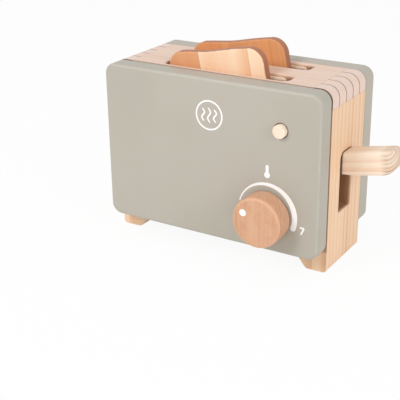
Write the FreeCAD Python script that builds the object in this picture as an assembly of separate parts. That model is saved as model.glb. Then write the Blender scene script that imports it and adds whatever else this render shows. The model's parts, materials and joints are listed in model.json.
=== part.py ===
"""Wooden toy toaster with a finger-jointed body, a tilting lever that lifts two toasts, a knob and a button.

The frame: +X towards the lever, -Y towards the face with the knob, +Z up, in millimetres.
The pieces are drawn about the middle of the box-shaped body, on the surface that it stands on. Before they
are written they move along X and Y, so that the origin lies under the middle of the whole toaster, with its
lever and knob.
"""
import FreeCAD, Part
import math
import os

# Body: two painted panels either side of a wooden box
BODY_W = 190.0
BODY_TOP = 145.0
PANEL_BOTTOM = 16.0
PANEL_T = 17.0
PANEL_CORNER_R = 9.0
PANEL_ROUND = 2.6
CORE_DEPTH = 60.0
BOARD_T = 15.0
BOTTOM_BOARD_T = 12.0
CORE_CORNER_R = 9.0
FINGER_COUNT = 5

# Feet, cut from the lower ends of the two end boards
FOOT_SOLE = 17.0
FOOT_TOP = 30.0
FOOT_CORNER_R = 2.5

# Toast slots in the top board, and the thin liners that stand in them
SLOT_END_GAP = 0.6
SLOT_INNER_Y = 9.5
SLOT_WIDTH = 16.0
SLOT_CORNER_R = 5.0
SLOT_ROUND = 1.2
LINER_T = 2.6
LINER_END_GAP = 7.0
LINER_BOTTOM = 88.0
LINER_DROP = 2.4
LINER_CORNER_R = 4.0

# Lever arm, turning on a dowel at its left end
PIVOT_FROM_END = 10.0
PIVOT_Z = 50.0
REST_TILT = 11.0
PRESSED_TILT = 0.8
ARM_T = 17.4
ARM_H = 17.4
ARM_REACH = 46.6
ARM_BACK_SHARE = 0.98
ARM_EDGE_R = 2.0
ARM_TIP_UNDER_R = 12.5
ARM_TIP_TOP_R = 3.0
ARM_TIP_SIDE_R = 7.0
LEVER_SLOT_W = 22.0
LEVER_SLOT_END_GAP = 0.45
LEVER_SLOT_TOP_R = 5.0
LEVER_SLOT_LOW_R = 1.5
LEVER_SLOT_ROUND = 0.9

# Dowels
PIVOT_DOWEL_R = 4.0
PIVOT_SEAT = 8.0
RUNNING_GAP = 0.06
FIT_GAP = 0.03
CARRIER_R = 4.0
CARRIER_HALF = 23.5
CARRIER_INSET = 12.0
SPACER_R = 7.0
SPACER_GAP = 0.3
PANEL_DOWEL_R = 3.0
PANEL_DOWEL_HALF = 11.0
PANEL_DOWEL_LOW_Z = 34.0
PANEL_DOWEL_DROP = 27.0
BOTTOM_DOWEL_Y = 18.0
BOTTOM_DOWEL_HALF = 10.0
DOWEL_END_GAP = 0.5

# Toast slices, standing on the two carrier dowels of the lever arm
TOAST_W = 91.0
TOAST_H = 93.6
TOAST_T = 8.0
TOAST_LOBE_R = 15.0
TOAST_FOOT_R = 4.0
TOAST_DIP = 1.6
TOAST_ROUND = 1.3
TOAST_FROM_END = 23.8
TOAST_REST_GAP = 0.3
TOAST_LINER_GAP = 1.1

# Knob on the front panel
KNOB_FROM_EDGE = 42.7
KNOB_Z = 45.5
KNOB_R = 20.2
KNOB_LENGTH = 16.7
KNOB_FRONT_ROUND = 2.4
KNOB_BACK_ROUND = 0.8
KNOB_BORE_DEPTH = 11.7
KNOB_GAP = 0.25
SHAFT_R = 5.0
WASHER_T = 1.05
WASHER_R = 11.0
WASHER_BORE_GAP = 0.4
KEEPER_R = 10.0
KEEPER_T = 4.0
KEEPER_GAP = 0.3

# Push button on the front panel
BUTTON_FROM_EDGE = 32.2
BUTTON_DROP = 30.4
BUTTON_R = 5.3
BUTTON_HOLE_GAP = 0.45
BUTTON_PROUD = 4.0
BUTTON_ROUND = 1.1
FLANGE_R = 7.5
FLANGE_T = 3.0
FLANGE_GAP = 0.3
BRIDGE_W = 10.4
BRIDGE_ABOVE = 5.0
BRIDGE_FLANGE_GAP = 1.0
BRIDGE_DEPTH = 16.0
BRIDGE_T = 3.0
SCREW_R = 1.2
SCREW_HEAD_R = 2.2
SCREW_HEAD_T = 1.2
SCREW_SEAT = 7.0
SCREW_SPREAD = 2.6
SCREW_EDGE_GAP = 0.8

# Coil springs
LEVER_SPRING_U = 72.0
LEVER_SPRING_R = 5.0
LEVER_SPRING_WIRE = 0.9
LEVER_SPRING_TURNS = 6
LEVER_SPRING_TOP_GAP = 0.35
BUTTON_SPRING_R = 3.4
BUTTON_SPRING_WIRE = 0.6
BUTTON_SPRING_TURNS = 5
SPRING_SEAT_GAP = 0.05

# Places that follow from the sizes above
HALF_W = BODY_W / 2
HALF_CORE = CORE_DEPTH / 2
FRONT_Y = -HALF_CORE - PANEL_T
END_INNER_X = HALF_W - BOARD_T
TOP_UNDER = BODY_TOP - BOARD_T
BOTTOM_TOP = PANEL_BOTTOM + BOTTOM_BOARD_T
KNOB_X = HALF_W - KNOB_FROM_EDGE
BUTTON_X = HALF_W - BUTTON_FROM_EDGE
BUTTON_Z = BODY_TOP - BUTTON_DROP
PANEL_DOWEL_Z = (PANEL_DOWEL_LOW_Z, BODY_TOP - PANEL_DOWEL_DROP)

# The lever's pivot, and how much a line across the lever leans at rest and with the lever pressed down
PIVOT_X = PIVOT_FROM_END - END_INNER_X
REST_RAD = math.radians(REST_TILT)
PRESSED_RAD = math.radians(PRESSED_TILT)
ARM_LENGTH = (HALF_W - PIVOT_X) / math.cos(REST_RAD) + ARM_REACH
LEVER_SPRING_X = PIVOT_X + LEVER_SPRING_U * math.cos(REST_RAD)
LEVER_RISE = (HALF_W - PIVOT_X) * math.tan(REST_RAD) + ARM_H / 2 / math.cos(REST_RAD)
LEVER_DROP = (END_INNER_X - PIVOT_X) * math.tan(PRESSED_RAD) - ARM_H / 2 / math.cos(PRESSED_RAD)
LEVER_SLOT_TOP = PIVOT_Z + LEVER_RISE + LEVER_SLOT_END_GAP
LEVER_SLOT_BOTTOM = PIVOT_Z + LEVER_DROP - LEVER_SLOT_END_GAP

# The slots are as long as the toasts need, at rest at their left ends and pressed down at their right ends
TOAST_END_U = END_INNER_X - PIVOT_X - TOAST_FROM_END
TOAST_START_U = TOAST_END_U - TOAST_W
CARRIER_U = (TOAST_START_U + CARRIER_INSET, TOAST_END_U - CARRIER_INSET)
TOAST_LEFT = PIVOT_X + TOAST_START_U / math.cos(REST_RAD) - (BODY_TOP - PIVOT_Z) * math.tan(REST_RAD)
TOAST_RIGHT = PIVOT_X + TOAST_END_U / math.cos(PRESSED_RAD) - (TOP_UNDER - PIVOT_Z) * math.tan(PRESSED_RAD)
SLOT_X0 = TOAST_LEFT - SLOT_END_GAP
SLOT_X1 = TOAST_RIGHT + SLOT_END_GAP
SLOT_OUTER_Y = SLOT_INNER_Y + SLOT_WIDTH
LINER_X0 = SLOT_X0 + LINER_END_GAP
LINER_X1 = SLOT_X1 - LINER_END_GAP
TOAST_INNER_Y = SLOT_INNER_Y + LINER_T + TOAST_LINER_GAP
X_AXIS = FreeCAD.Vector(1, 0, 0)
Y_AXIS = FreeCAD.Vector(0, 1, 0)
Z_AXIS = FreeCAD.Vector(0, 0, 1)


def vec(x, y, z):
    return FreeCAD.Vector(x, y, z)


def block(x0, x1, y0, y1, z0, z1):
    """A plain block between two corners."""
    return Part.makeBox(x1 - x0, y1 - y0, z1 - z0, vec(x0, y0, z0))


def rod_y(radius, x, z, y0, y1):
    """A round rod along Y."""
    return Part.makeCylinder(radius, y1 - y0, vec(x, y0, z), Y_AXIS)


def rod_x(radius, y, z, x0, x1):
    """A round rod along X."""
    return Part.makeCylinder(radius, x1 - x0, vec(x0, y, z), X_AXIS)


def outline(corners, place):
    """A closed wire through corners (a, b, radius), each rounded by an arc of its radius.

    place turns the flat point (a, b) into a point in space.
    """
    count = len(corners)
    starts = []
    middles = []
    ends = []
    for i in range(count):
        here = FreeCAD.Vector(corners[i][0], corners[i][1], 0)
        before = FreeCAD.Vector(corners[i - 1][0], corners[i - 1][1], 0)
        after = FreeCAD.Vector(corners[(i + 1) % count][0], corners[(i + 1) % count][1], 0)
        to_before = (before - here).normalize()
        to_after = (after - here).normalize()
        half = to_before.getAngle(to_after) / 2
        radius = corners[i][2]
        back = radius / math.tan(half)
        inward = (to_before + to_after).normalize()
        centre = here + inward * (radius / math.sin(half))
        starts.append(here + to_before * back)
        middles.append(centre - inward * radius)
        ends.append(here + to_after * back)
    edges = []
    for i in range(count):
        if corners[i][2] > 0:
            arc = Part.Arc(place(starts[i]), place(middles[i]), place(ends[i]))
            edges.append(arc.toShape())
        following = starts[(i + 1) % count]
        if ends[i].distanceToPoint(following) > 1e-6:
            edges.append(Part.LineSegment(place(ends[i]), place(following)).toShape())
    return Part.Wire(edges)


def slab_xz(corners, y0, y1):
    """A slab along Y whose outline is given in the XZ plane."""
    wire = outline(corners, lambda p: vec(p.x, y0, p.y))
    return Part.Face(wire).extrude(vec(0, y1 - y0, 0))


def slab_xy(corners, z0, z1):
    """A slab along Z whose outline is given in the XY plane."""
    wire = outline(corners, lambda p: vec(p.x, p.y, z0))
    return Part.Face(wire).extrude(vec(0, 0, z1 - z0))


def slab_yz(corners, x0, x1):
    """A slab along X whose outline is given in the YZ plane."""
    wire = outline(corners, lambda p: vec(x0, p.x, p.y))
    return Part.Face(wire).extrude(vec(x1 - x0, 0, 0))


def rounded_rectangle(a0, a1, b0, b1, radius):
    """Corners of a rectangle with one radius all round."""
    return [(a0, b0, radius), (a1, b0, radius), (a1, b1, radius), (a0, b1, radius)]


def edges_in_plane(shape, axis, value):
    """The edges of a shape that lie in the plane where the coordinate axis has this value."""
    found = []
    for edge in shape.Edges:
        box = edge.BoundBox
        low = (box.XMin, box.YMin, box.ZMin)[axis]
        high = (box.XMax, box.YMax, box.ZMax)[axis]
        if abs(low - value) < 1e-4 and abs(high - value) < 1e-4:
            found.append(edge)
    return found


def edges_near_middle(edges, reach_x, reach_y):
    """Those edges whose middles lie within these distances of the middle of the body."""
    kept = []
    for edge in edges:
        centre = edge.BoundBox.Center
        if abs(centre.x) < reach_x and abs(centre.y) < reach_y:
            kept.append(edge)
    return kept


def mirrored_y(shape):
    """The same piece on the other side of the middle plane."""
    return shape.mirror(vec(0, 0, 0), Y_AXIS)


def coil(radius, wire_r, turns, length):
    """A round-wire spring along Z from 0 to length, whose centre line is a helix."""
    rise = length - 2 * wire_r
    helix = Part.makeHelix(rise / turns, rise, radius - wire_r)
    helix.translate(vec(0, 0, wire_r))
    start = vec(radius - wire_r, 0, wire_r)
    slope = vec(0, 2 * math.pi * (radius - wire_r), rise / turns)
    circle = Part.Wire([Part.makeCircle(wire_r, start, slope)])
    return Part.Wire(helix.Edges).makePipeShell([circle], True, True)


def to_origin(shapes):
    """The move that brings the middle of the whole toaster's box over the origin."""
    box = Part.makeCompound(shapes).optimalBoundingBox(False, False)
    return vec(-(box.XMin + box.XMax) / 2, -(box.YMin + box.YMax) / 2, 0)


def save(name, shape, move):
    """Move one piece to the frame, write it, and say how many solids it holds and how large it is."""
    placed = shape.copy()
    placed.translate(move)
    placed.exportStep("parts/" + name + ".step")
    box = placed.BoundBox
    size = "%.1f x %.1f x %.1f" % (box.XLength, box.YLength, box.ZLength)
    print(name, len(placed.Solids), size, "valid" if placed.isValid() else "INVALID")


def tilted(shape):
    """Turn a piece drawn along the level lever into its place at rest."""
    placed = shape.copy()
    placed.rotate(vec(0, 0, 0), Y_AXIS, -REST_TILT)
    placed.translate(vec(PIVOT_X, 0, PIVOT_Z))
    return placed


def panel_blank(y0, y1):
    """A painted board with rounded corners and every edge rounded over."""
    corners = rounded_rectangle(-HALF_W, HALF_W, PANEL_BOTTOM, BODY_TOP, PANEL_CORNER_R)
    blank = slab_xz(corners, y0, y1)
    rims = edges_in_plane(blank, 1, y0) + edges_in_plane(blank, 1, y1)
    return blank.makeFillet(PANEL_ROUND, rims)


def panel_dowel_places():
    """The places of the dowels that fix a panel to the end boards."""
    middle = HALF_W - BOARD_T / 2
    return [(side * middle, z) for side in (-1, 1) for z in PANEL_DOWEL_Z]


def make_panels():
    """The two painted panels, with their blind holes, knob hole and button hole."""
    front = panel_blank(FRONT_Y, -HALF_CORE)
    back = panel_blank(HALF_CORE, HALF_CORE + PANEL_T)
    seat = HALF_CORE + PANEL_DOWEL_HALF + DOWEL_END_GAP
    for x, z in panel_dowel_places():
        hole = rod_y(PANEL_DOWEL_R + FIT_GAP, x, z, HALF_CORE, seat)
        back = back.cut(hole)
        front = front.cut(mirrored_y(hole))
    pivot_seat = HALF_CORE + PIVOT_SEAT + DOWEL_END_GAP
    hole = rod_y(PIVOT_DOWEL_R + FIT_GAP, PIVOT_X, PIVOT_Z, HALF_CORE, pivot_seat)
    back = back.cut(hole)
    front = front.cut(mirrored_y(hole))
    front = front.cut(rod_y(SHAFT_R + RUNNING_GAP, KNOB_X, KNOB_Z, FRONT_Y, -HALF_CORE))
    front = front.cut(rod_y(BUTTON_R + BUTTON_HOLE_GAP, BUTTON_X, BUTTON_Z, FRONT_Y, -HALF_CORE))
    for x, z in bridge_screw_places():
        front = front.cut(rod_y(SCREW_R + FIT_GAP, x, z, -HALF_CORE - SCREW_SEAT - DOWEL_END_GAP, -HALF_CORE))
    return front, back


def core_outline():
    """The rounded outline of the wooden box, seen from the front."""
    corners = [(-HALF_W, 0, FOOT_CORNER_R), (HALF_W, 0, FOOT_CORNER_R)]
    corners += [(HALF_W, BODY_TOP, CORE_CORNER_R), (-HALF_W, BODY_TOP, CORE_CORNER_R)]
    return slab_xz(corners, -HALF_CORE, HALF_CORE)


def fingers(parity, x0, x1):
    """Every second finger of a corner joint, across the depth of the box."""
    pitch = CORE_DEPTH / FINGER_COUNT
    pieces = []
    for i in range(parity, FINGER_COUNT, 2):
        low = -HALF_CORE + i * pitch
        pieces.append(block(x0, x1, low, low + pitch, TOP_UNDER, BODY_TOP))
    return pieces


def make_top_board(shell):
    """The board with the two toast slots and the fingers at both ends."""
    board = block(-END_INNER_X, END_INNER_X, -HALF_CORE, HALF_CORE, TOP_UNDER, BODY_TOP)
    ends = fingers(0, END_INNER_X, HALF_W) + fingers(0, -HALF_W, -END_INNER_X)
    board = board.multiFuse(ends).removeSplitter().common(shell)
    corners = rounded_rectangle(SLOT_X0, SLOT_X1, SLOT_INNER_Y, SLOT_OUTER_Y, SLOT_CORNER_R)
    slot = slab_xy(corners, TOP_UNDER, BODY_TOP)
    board = board.cut(slot).cut(mirrored_y(slot))
    rims = edges_near_middle(edges_in_plane(board, 2, BODY_TOP), END_INNER_X, (SLOT_OUTER_Y + HALF_CORE) / 2)
    return board.makeFillet(SLOT_ROUND, rims)


def make_end_board(shell):
    """The right end board with its foot and fingers, before the lever slot is cut."""
    foot = [(HALF_W, 0, 0), (HALF_W, TOP_UNDER, 0), (END_INNER_X, TOP_UNDER, 0)]
    foot += [(END_INNER_X, PANEL_BOTTOM, 0), (HALF_W - FOOT_TOP, PANEL_BOTTOM, 0)]
    foot += [(HALF_W - FOOT_SOLE, 0, FOOT_CORNER_R)]
    board = slab_xz(foot, -HALF_CORE, HALF_CORE)
    board = board.multiFuse(fingers(1, END_INNER_X, HALF_W)).removeSplitter().common(shell)
    seat = PANEL_DOWEL_HALF + DOWEL_END_GAP
    for z in PANEL_DOWEL_Z:
        hole = rod_y(PANEL_DOWEL_R + FIT_GAP, HALF_W - BOARD_T / 2, z, HALF_CORE - seat, HALF_CORE)
        board = board.cut(hole).cut(mirrored_y(hole))
    return board.cut(Part.makeCompound(bottom_dowels(FIT_GAP, DOWEL_END_GAP)))


def cut_lever_slot(board):
    """Cut the tall slot that the lever travels in, its outer rim softened."""
    half = LEVER_SLOT_W / 2
    corners = [(-half, LEVER_SLOT_BOTTOM, LEVER_SLOT_LOW_R), (half, LEVER_SLOT_BOTTOM, LEVER_SLOT_LOW_R)]
    corners += [(half, LEVER_SLOT_TOP, LEVER_SLOT_TOP_R), (-half, LEVER_SLOT_TOP, LEVER_SLOT_TOP_R)]
    board = board.cut(slab_yz(corners, END_INNER_X, HALF_W))
    outer = edges_near_middle(edges_in_plane(board, 0, HALF_W), BODY_W, (half + HALF_CORE) / 2)
    heights = (LEVER_SLOT_BOTTOM - FIT_GAP, LEVER_SLOT_TOP + FIT_GAP)
    rims = [edge for edge in outer if heights[0] < edge.BoundBox.Center.z < heights[1]]
    return board.makeFillet(LEVER_SLOT_ROUND, rims)


def bottom_dowels(extra_r, extra_end):
    """Dowels between the bottom board and the end boards, or their holes when made larger."""
    pieces = []
    middle_z = PANEL_BOTTOM + BOTTOM_BOARD_T / 2
    for side in (-1, 1):
        for y in (-BOTTOM_DOWEL_Y, BOTTOM_DOWEL_Y):
            start = side * END_INNER_X - BOTTOM_DOWEL_HALF - extra_end
            end = side * END_INNER_X + BOTTOM_DOWEL_HALF + extra_end
            pieces.append(rod_x(PANEL_DOWEL_R + extra_r, y, middle_z, start, end))
    return pieces


def make_liner():
    """A thin strip against the inner wall of the rear slot, with two rounded top corners."""
    top = BODY_TOP - LINER_DROP
    corners = [(LINER_X0, LINER_BOTTOM, 0), (LINER_X1, LINER_BOTTOM, 0)]
    corners += [(LINER_X1, top, LINER_CORNER_R), (LINER_X0, top, LINER_CORNER_R)]
    return slab_xz(corners, SLOT_INNER_Y, SLOT_INNER_Y + LINER_T)


def panel_dowels():
    """The dowels that fix both panels to the end boards."""
    pieces = []
    for x, z in panel_dowel_places():
        dowel = rod_y(PANEL_DOWEL_R, x, z, HALF_CORE - PANEL_DOWEL_HALF, HALF_CORE + PANEL_DOWEL_HALF)
        pieces += [dowel, mirrored_y(dowel)]
    return Part.makeCompound(pieces)


def make_lever_arm():
    """The lever in one piece: bored for its pivot and the carrier dowels, with a thumb-shaped end."""
    half_h = ARM_H / 2
    half_t = ARM_T / 2
    back_r = half_h * ARM_BACK_SHARE
    side = [(-half_h, -half_h, back_r), (ARM_LENGTH, -half_h, ARM_TIP_UNDER_R)]
    side += [(ARM_LENGTH, half_h, ARM_TIP_TOP_R), (-half_h, half_h, back_r)]
    arm = slab_xz(side, -half_t, half_t)
    rims = edges_in_plane(arm, 1, -half_t) + edges_in_plane(arm, 1, half_t)
    arm = arm.makeFillet(ARM_EDGE_R, rims)
    plan = [(-2 * ARM_H, -half_t, 0), (ARM_LENGTH, -half_t, ARM_TIP_SIDE_R)]
    plan += [(ARM_LENGTH, half_t, ARM_TIP_SIDE_R), (-2 * ARM_H, half_t, 0)]
    arm = arm.common(slab_xy(plan, -ARM_H, ARM_H))
    arm = arm.cut(rod_y(PIVOT_DOWEL_R + RUNNING_GAP, 0, 0, -ARM_T, ARM_T))
    for u in CARRIER_U:
        arm = arm.cut(rod_y(CARRIER_R + FIT_GAP, u, 0, -ARM_T, ARM_T))
    return tilted(arm)


def carrier_dowels():
    """The two cross dowels that the toasts stand on."""
    pieces = [tilted(rod_y(CARRIER_R, u, 0, -CARRIER_HALF, CARRIER_HALF)) for u in CARRIER_U]
    return Part.makeCompound(pieces)


def pivot_spacers():
    """Two sleeves that keep the lever arm in the middle of its dowel."""
    start = ARM_T / 2 + SPACER_GAP
    sleeve = rod_y(SPACER_R, PIVOT_X, PIVOT_Z, start, HALF_CORE)
    sleeve = sleeve.cut(rod_y(PIVOT_DOWEL_R + FIT_GAP, PIVOT_X, PIVOT_Z, start, HALF_CORE))
    return Part.makeCompound([sleeve, mirrored_y(sleeve)])


def make_toast():
    """The rear toast: a slice with two lobes at the top and a shallow dip between them."""
    low = CARRIER_R + TOAST_REST_GAP
    high = low + TOAST_H
    start = TOAST_START_U
    end = start + TOAST_W
    middle = (start + end) / 2
    side = [(start, low, TOAST_FOOT_R), (end, low, TOAST_FOOT_R), (end, high, TOAST_LOBE_R)]
    side += [(middle, high - TOAST_DIP, TOAST_W), (start, high, TOAST_LOBE_R)]
    slice_shape = slab_xz(side, TOAST_INNER_Y, TOAST_INNER_Y + TOAST_T)
    rims = edges_in_plane(slice_shape, 1, TOAST_INNER_Y)
    rims += edges_in_plane(slice_shape, 1, TOAST_INNER_Y + TOAST_T)
    return tilted(slice_shape.makeFillet(TOAST_ROUND, rims))


def make_knob():
    """The turned knob, its front edge well rounded, with a blind bore for the shaft."""
    back_y = FRONT_Y - WASHER_T - KNOB_GAP
    front_y = back_y - KNOB_LENGTH
    knob = rod_y(KNOB_R, KNOB_X, KNOB_Z, front_y, back_y)
    knob = knob.makeFillet(KNOB_FRONT_ROUND, edges_in_plane(knob, 1, front_y))
    knob = knob.makeFillet(KNOB_BACK_ROUND, edges_in_plane(knob, 1, back_y))
    bore_end = back_y - KNOB_BORE_DEPTH - DOWEL_END_GAP
    return knob.cut(rod_y(SHAFT_R + FIT_GAP, KNOB_X, KNOB_Z, bore_end, back_y))


def knob_inner_pieces():
    """The shaft, the felt washer under the knob and the keeper behind the panel."""
    keeper_front = -HALF_CORE + KEEPER_GAP
    keeper_back = keeper_front + KEEPER_T
    shaft_front = FRONT_Y - WASHER_T - KNOB_GAP - KNOB_BORE_DEPTH
    shaft = rod_y(SHAFT_R, KNOB_X, KNOB_Z, shaft_front, keeper_back)
    washer = rod_y(WASHER_R, KNOB_X, KNOB_Z, FRONT_Y - WASHER_T, FRONT_Y)
    washer = washer.cut(rod_y(SHAFT_R + WASHER_BORE_GAP, KNOB_X, KNOB_Z, FRONT_Y - WASHER_T, FRONT_Y))
    keeper = rod_y(KEEPER_R, KNOB_X, KNOB_Z, keeper_front, keeper_back)
    keeper = keeper.cut(rod_y(SHAFT_R + FIT_GAP, KNOB_X, KNOB_Z, keeper_front, keeper_back))
    return shaft, washer, keeper


def make_button():
    """The button: a dowel with a softened face, and a flange behind the panel that keeps it in."""
    face = FRONT_Y - BUTTON_PROUD
    flange_front = -HALF_CORE + FLANGE_GAP
    stem = rod_y(BUTTON_R, BUTTON_X, BUTTON_Z, face, flange_front + FLANGE_T)
    stem = stem.makeFillet(BUTTON_ROUND, edges_in_plane(stem, 1, face))
    flange = rod_y(FLANGE_R, BUTTON_X, BUTTON_Z, flange_front, flange_front + FLANGE_T)
    return stem.fuse(flange).removeSplitter()


def bridge_leg_low():
    """The height of the underside of the bridge's leg, which passes below the button's flange."""
    return BUTTON_Z - FLANGE_R - BRIDGE_FLANGE_GAP - BRIDGE_T


def bridge_screw_places():
    """Two screws side by side through the foot of the bridge behind the button."""
    z = bridge_leg_low() - SCREW_HEAD_R - SCREW_EDGE_GAP
    return [(BUTTON_X - SCREW_SPREAD, z), (BUTTON_X + SCREW_SPREAD, z)]


def make_bridge():
    """The bent bridge that the button's spring pushes against, screwed behind the panel by its foot."""
    low = bridge_leg_low()
    inner = -HALF_CORE
    outer = inner + BRIDGE_DEPTH
    x0 = BUTTON_X - BRIDGE_W / 2
    x1 = BUTTON_X + BRIDGE_W / 2
    foot_low = low - 2 * (SCREW_HEAD_R + SCREW_EDGE_GAP)
    foot = block(x0, x1, inner, inner + BRIDGE_T, foot_low, low + BRIDGE_T)
    leg = block(x0, x1, inner, outer, low, low + BRIDGE_T)
    plate = block(x0, x1, outer - BRIDGE_T, outer, low, BUTTON_Z + BRIDGE_ABOVE)
    bridge = plate.multiFuse([leg, foot]).removeSplitter()
    for x, z in bridge_screw_places():
        bridge = bridge.cut(rod_y(SCREW_R + FIT_GAP, x, z, inner, inner + BRIDGE_T))
    return bridge


def bridge_screws():
    """Round-headed screws that hold the bridge."""
    inner = -HALF_CORE
    pieces = []
    for x, z in bridge_screw_places():
        shank = rod_y(SCREW_R, x, z, inner - SCREW_SEAT, inner + BRIDGE_T)
        head = rod_y(SCREW_HEAD_R, x, z, inner + BRIDGE_T, inner + BRIDGE_T + SCREW_HEAD_T)
        pieces.append(shank.fuse(head).removeSplitter())
    return Part.makeCompound(pieces)


def make_lever_spring():
    """The spring between the bottom board and the underside of the lever arm."""
    near = LEVER_SPRING_X - LEVER_SPRING_R - PIVOT_X
    under = PIVOT_Z + near * math.tan(REST_RAD) - ARM_H / 2 / math.cos(REST_RAD)
    length = under - LEVER_SPRING_TOP_GAP - BOTTOM_TOP - SPRING_SEAT_GAP
    spring = coil(LEVER_SPRING_R, LEVER_SPRING_WIRE, LEVER_SPRING_TURNS, length)
    spring.translate(vec(LEVER_SPRING_X, 0, BOTTOM_TOP + SPRING_SEAT_GAP))
    return spring


def make_button_spring():
    """The spring between the button's flange and the bridge."""
    start = -HALF_CORE + FLANGE_GAP + FLANGE_T + SPRING_SEAT_GAP
    end = -HALF_CORE + BRIDGE_DEPTH - BRIDGE_T - SPRING_SEAT_GAP
    spring = coil(BUTTON_SPRING_R, BUTTON_SPRING_WIRE, BUTTON_SPRING_TURNS, end - start)
    spring.rotate(vec(0, 0, 0), X_AXIS, -90)
    spring.translate(vec(BUTTON_X, start, BUTTON_Z))
    return spring


def main():
    os.makedirs("parts", exist_ok=True)
    shell = core_outline()
    front_panel, back_panel = make_panels()
    end_board = make_end_board(shell)
    bottom = block(-END_INNER_X, END_INNER_X, -HALF_CORE, HALF_CORE, PANEL_BOTTOM, BOTTOM_TOP)
    bottom = bottom.cut(Part.makeCompound(bottom_dowels(FIT_GAP, DOWEL_END_GAP)))
    liner = make_liner()
    toast = make_toast()
    shaft, washer, keeper = knob_inner_pieces()
    pivot_half = HALF_CORE + PIVOT_SEAT
    pieces = {
        "front_panel": front_panel,
        "back_panel": back_panel,
        "top_board": make_top_board(shell),
        "left_end_board": end_board.mirror(vec(0, 0, 0), X_AXIS),
        "right_end_board": cut_lever_slot(end_board),
        "bottom_board": bottom,
        "rear_slot_liner": liner,
        "front_slot_liner": mirrored_y(liner),
        "panel_dowels": panel_dowels(),
        "bottom_board_dowels": Part.makeCompound(bottom_dowels(0, 0)),
        "lever_arm": make_lever_arm(),
        "lever_pivot_dowel": rod_y(PIVOT_DOWEL_R, PIVOT_X, PIVOT_Z, -pivot_half, pivot_half),
        "pivot_spacers": pivot_spacers(),
        "carrier_dowels": carrier_dowels(),
        "lever_spring": make_lever_spring(),
        "rear_toast": toast,
        "front_toast": mirrored_y(toast),
        "knob": make_knob(),
        "knob_shaft": shaft,
        "knob_washer": washer,
        "knob_keeper": keeper,
        "push_button": make_button(),
        "button_spring": make_button_spring(),
        "button_bridge": make_bridge(),
        "bridge_screws": bridge_screws(),
    }
    move = to_origin(list(pieces.values()))
    print("moved by %.3f, %.3f" % (move.x, move.y))
    for name, shape in pieces.items():
        save(name, shape, move)
    return move


main()
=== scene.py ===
# %% [markdown]
# A wooden toy toaster, dressed for its picture.
# The boards, the lever and the hidden mechanism come from the construction model, at their real size.
# This lesson gives every piece its finish, and makes new surfaces for the lever, the toast slices, the
# knob, the outer strips of the slots and the white signs on the front.

# %% Load the construction model
import bmesh
import bpy
import json
import math
import numpy as np
from mathutils import Matrix, Vector


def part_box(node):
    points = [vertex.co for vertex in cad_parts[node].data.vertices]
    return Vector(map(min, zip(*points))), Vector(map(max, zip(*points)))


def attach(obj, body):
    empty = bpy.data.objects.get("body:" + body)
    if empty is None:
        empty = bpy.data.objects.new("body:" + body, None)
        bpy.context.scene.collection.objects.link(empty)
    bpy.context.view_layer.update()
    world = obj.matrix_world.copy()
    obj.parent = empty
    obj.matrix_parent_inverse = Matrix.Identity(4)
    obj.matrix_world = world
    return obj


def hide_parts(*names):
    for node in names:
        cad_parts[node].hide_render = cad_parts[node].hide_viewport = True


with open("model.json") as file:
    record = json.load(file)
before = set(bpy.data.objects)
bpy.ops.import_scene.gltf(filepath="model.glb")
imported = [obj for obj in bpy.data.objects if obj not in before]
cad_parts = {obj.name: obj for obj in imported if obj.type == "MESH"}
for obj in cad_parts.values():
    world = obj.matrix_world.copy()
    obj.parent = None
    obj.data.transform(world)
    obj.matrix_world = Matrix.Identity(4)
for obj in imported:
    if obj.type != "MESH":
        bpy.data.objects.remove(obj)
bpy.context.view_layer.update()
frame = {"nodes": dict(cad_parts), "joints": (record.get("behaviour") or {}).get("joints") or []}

# %% [markdown]
# Most of what follows is placed from a few faces of the real boards. The middle of the body is the middle
# of the front panel, and the signs lie on the panel's front face.

# %% Measure the boards
MM = 0.001
panel_low, panel_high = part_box("front_panel")
core_low, core_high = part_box("top_board")
middle_x = (panel_low.x + panel_high.x) / 2
middle_y = (core_low.y + core_high.y) / 2
front_y = panel_low.y
body_top = core_high.z
half_width = (panel_high.x - panel_low.x) / 2
print("body %.0f mm wide, top at %.0f mm" % (2000 * half_width, 1000 * body_top))

# %% [markdown]
# The camera stands where the photographer's did: in front of the toaster, to its right and a little
# above it. Its place, heading and lens were fitted to edges in the photograph.

# %% Set up the camera
CAMERA_FROM_BODY = (0.3594, -0.6268, 0.3373)
CAMERA_HEADING = 32.30
CAMERA_PITCH = 23.05
CAMERA_ROLL = -0.88
CAMERA_LENS = 85.27
SENSOR_WIDTH = 36.0


def place_object(name, data):
    """A new object in the scene that shows some data."""
    thing = bpy.data.objects.new(name, data)
    bpy.context.scene.collection.objects.link(thing)
    return thing


def make_camera():
    """A camera turned by its heading about Z, then its pitch below level, then its roll."""
    data = bpy.data.cameras.new("camera")
    data.lens = CAMERA_LENS
    data.sensor_width = SENSOR_WIDTH
    camera = place_object("camera", data)
    heading = Matrix.Rotation(math.radians(CAMERA_HEADING), 4, "Z")
    pitch = Matrix.Rotation(math.radians(90 - CAMERA_PITCH), 4, "X")
    roll = Matrix.Rotation(math.radians(CAMERA_ROLL), 4, "Z")
    place = Vector((middle_x, middle_y, 0)) + Vector(CAMERA_FROM_BODY)
    camera.matrix_world = Matrix.Translation(place) @ heading @ pitch @ roll
    bpy.context.scene.camera = camera
    return camera


camera = make_camera()
print("camera at", [round(value, 3) for value in camera.matrix_world.translation])

# %% [markdown]
# A material is a small net of nodes, and helpers keep the nets short. The first ones add a node, fill in its
# inputs and do arithmetic. The rest make groups and materials, whose steady values are set on the shader's
# own sockets.

# %% Helpers for node nets


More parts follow.
